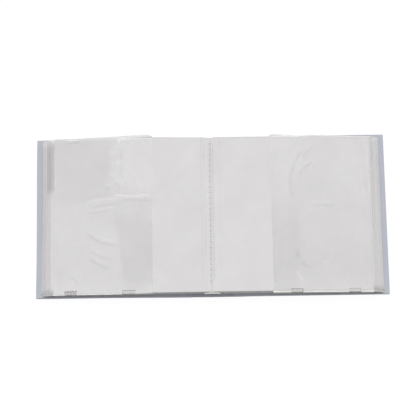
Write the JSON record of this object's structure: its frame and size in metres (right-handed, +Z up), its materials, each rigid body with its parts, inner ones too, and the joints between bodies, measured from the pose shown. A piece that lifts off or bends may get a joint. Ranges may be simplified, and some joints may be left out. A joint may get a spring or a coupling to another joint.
{
  "type": "photo album",
  "caption": "Hard-cover pocket photo album lying open at its middle: covers hinge on the spine, sewn memo leaves carry clear film pockets, and the right leaf turns over.",
  "frame": {"origin": "under the middle of the spine, on the surface that the open album lies on", "axes": "+X to the right along the open spread, +Y to the head of the pages, +Z up out of the open pages"},
  "size_m": [0.352, 0.1656, 0.0128],
  "materials": {
    "covering_paper": "matt, fine fibre grain, pale blue-grey",
    "greyboard": "raw grey board",
    "white_paper": "smooth, matt, white",
    "clear_film": "clear, soft gloss, slightly wrinkled",
    "thread": "waxed sewing thread"
  },
  "bodies": {
    "spine": {"spine_board": "greyboard", "spine_covering": "covering_paper", "spine_liner": "white_paper", "back_lining": "white_paper"},
    "left_cover": {"left_board": "greyboard", "left_covering": "covering_paper", "left_pastedown": "white_paper"},
    "left_gathering_1": {"left_sheet_01": "white_paper", "left_sheet_02": "white_paper", "left_sheet_03": "white_paper"},
    "left_gathering_2": {"left_sheet_04": "white_paper", "left_sheet_05": "white_paper", "left_sheet_06": "white_paper"},
    "left_gathering_3": {"left_sheet_07": "white_paper", "left_sheet_08": "white_paper", "left_sheet_09": "white_paper"},
    "left_gathering_4": {"left_sheet_10": "white_paper", "left_sheet_11": "white_paper", "left_sheet_12": "white_paper"},
    "left_leaf": {"left_page": "white_paper", "left_pocket_film": "clear_film", "left_stitching": "thread"},
    "right_cover": {"right_board": "greyboard", "right_covering": "covering_paper", "right_pastedown": "white_paper"},
    "right_gathering_1": {"right_sheet_01": "white_paper", "right_sheet_02": "white_paper", "right_sheet_03": "white_paper"},
    "right_gathering_2": {"right_sheet_04": "white_paper", "right_sheet_05": "white_paper", "right_sheet_06": "white_paper"},
    "right_gathering_3": {"right_sheet_07": "white_paper", "right_sheet_08": "white_paper", "right_sheet_09": "white_paper"},
    "right_gathering_4": {"right_sheet_10": "white_paper", "right_sheet_11": "white_paper", "right_sheet_12": "white_paper", "right_next_film": "clear_film"},
    "right_fold": {"right_fold": "white_paper", "right_stitching": "thread"},
    "right_guard_inner": {"right_guard_inner": "white_paper"},
    "right_guard_outer": {"right_guard_outer": "white_paper"},
    "right_leaf": {"right_page": "white_paper", "right_pocket_film": "clear_film"}
  },
  "joints": [
    {"name": "left_cover_hinge", "type": "hinge", "parent": "spine", "child": "left_cover", "pos_m": [-0.0128, 0, 0.0003], "axis": [0, -1, 0], "range_deg": [-90, 0], "deforming": ["back_lining"]},
    {"name": "right_cover_hinge", "type": "hinge", "parent": "spine", "child": "right_cover", "pos_m": [0.0128, 0, 0.0003], "axis": [0, 1, 0], "range_deg": [-90, 0]},
    {"name": "left_gathering_1_shift", "type": "slide", "parent": "left_cover", "child": "left_gathering_1", "axis": [-1, 0, 0], "range_m": [0, 0.00498]},
    {"name": "left_gathering_2_shift", "type": "slide", "parent": "left_cover", "child": "left_gathering_2", "axis": [-1, 0, 0], "range_m": [0, 0.00738]},
    {"name": "left_gathering_3_shift", "type": "slide", "parent": "left_cover", "child": "left_gathering_3", "axis": [-1, 0, 0], "range_m": [0, 0.00978]},
    {"name": "left_gathering_4_shift", "type": "slide", "parent": "left_cover", "child": "left_gathering_4", "axis": [-1, 0, 0], "range_m": [0, 0.01218]},
    {"name": "left_leaf_shift", "type": "slide", "parent": "left_cover", "child": "left_leaf", "axis": [-1, 0, 0], "range_m": [0, 0.01536]},
    {"name": "right_gathering_1_shift", "type": "slide", "parent": "right_cover", "child": "right_gathering_1", "axis": [1, 0, 0], "range_m": [0, 0.00498]},
    {"name": "right_gathering_2_shift", "type": "slide", "parent": "right_cover", "child": "right_gathering_2", "axis": [1, 0, 0], "range_m": [0, 0.00738]},
    {"name": "right_gathering_3_shift", "type": "slide", "parent": "right_cover", "child": "right_gathering_3", "axis": [1, 0, 0], "range_m": [0, 0.00978]},
    {"name": "right_gathering_4_shift", "type": "slide", "parent": "right_cover", "child": "right_gathering_4", "axis": [1, 0, 0], "range_m": [0, 0.01218]},
    {"name": "right_fold_shift", "type": "slide", "parent": "right_cover", "child": "right_fold", "axis": [1, 0, 0], "range_m": [0, 0.01536]},
    {"name": "right_stitch_fold", "type": "hinge", "parent": "right_fold", "child": "right_guard_inner", "pos_m": [0.0025, 0, 0.01233], "axis": [0, -1, 0], "range_deg": [0, 60]},
    {"name": "right_inner_score", "type": "hinge", "parent": "right_guard_inner", "child": "right_guard_outer", "pos_m": [0.0073, 0, 0.01234], "axis": [0, -1, 0], "range_deg": [0, 60]},
    {"name": "right_outer_score", "type": "hinge", "parent": "right_guard_outer", "child": "right_leaf", "pos_m": [0.0095, 0, 0.01235], "axis": [0, -1, 0], "range_deg": [0, 63]}
  ],
  "couplings": [
    {"joint": "left_gathering_1_shift", "follows": "left_cover_hinge", "m_per_rad": -0.003164},
    {"joint": "left_gathering_2_shift", "follows": "left_cover_hinge", "m_per_rad": -0.004692},
    {"joint": "left_gathering_3_shift", "follows": "left_cover_hinge", "m_per_rad": -0.00622},
    {"joint": "left_gathering_4_shift", "follows": "left_cover_hinge", "m_per_rad": -0.007748},
    {"joint": "left_leaf_shift", "follows": "left_cover_hinge", "m_per_rad": -0.009772},
    {"joint": "right_gathering_1_shift", "follows": "right_cover_hinge", "m_per_rad": -0.003164},
    {"joint": "right_gathering_2_shift", "follows": "right_cover_hinge", "m_per_rad": -0.004692},
    {"joint": "right_gathering_3_shift", "follows": "right_cover_hinge", "m_per_rad": -0.00622},
    {"joint": "right_gathering_4_shift", "follows": "right_cover_hinge", "m_per_rad": -0.007748},
    {"joint": "right_fold_shift", "follows": "right_cover_hinge", "m_per_rad": -0.009772}
  ]
}
